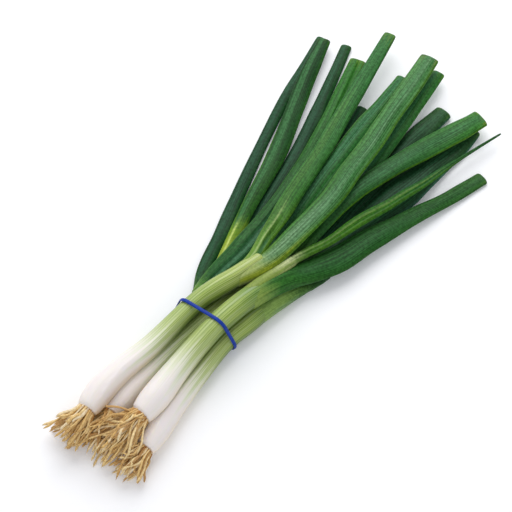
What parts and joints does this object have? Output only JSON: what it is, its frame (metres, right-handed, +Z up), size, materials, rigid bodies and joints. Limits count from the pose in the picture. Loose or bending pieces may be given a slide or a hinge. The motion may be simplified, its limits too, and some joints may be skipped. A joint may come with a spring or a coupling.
{
  "type": "spring onion bunch",
  "caption": "Bunch of fresh spring onions with white bulbs, trailing roots and long green leaves, held by one rubber band and lying flat.",
  "frame": {"origin": "on the table, below the middle of the bunch's box", "axes": "+X from the root ends to the leaf tips, +Z up from the table"},
  "size_m": [0.3494, 0.1543, 0.0283],
  "materials": {
    "stem": "smooth, white at the bulb and pale green above",
    "leaf": "waxy green",
    "root": "dry fibrous straw",
    "band": "matt blue rubber"
  },
  "bodies": {
    "root": {"onion_1_leaf_1": "leaf", "onion_1_leaf_2": "leaf", "onion_1_leaf_3": "leaf", "onion_1_roots": "root", "onion_1_stem": "stem", "onion_2_leaf_1": "leaf", "onion_2_leaf_2": "leaf", "onion_2_leaf_3": "leaf", "onion_2_roots": "root", "onion_2_stem": "stem", "onion_3_leaf_1": "leaf", "onion_3_leaf_2": "leaf", "onion_3_leaf_3": "leaf", "onion_3_roots": "root", "onion_3_stem": "stem", "onion_4_leaf_1": "leaf", "onion_4_leaf_2": "leaf", "onion_4_leaf_3": "leaf", "onion_4_roots": "root", "onion_4_stem": "stem", "onion_5_leaf_1": "leaf", "onion_5_leaf_2": "leaf", "onion_5_leaf_3": "leaf", "onion_5_roots": "root", "onion_5_stem": "stem", "rubber_band": "band"}
  },
  "joints": []
}
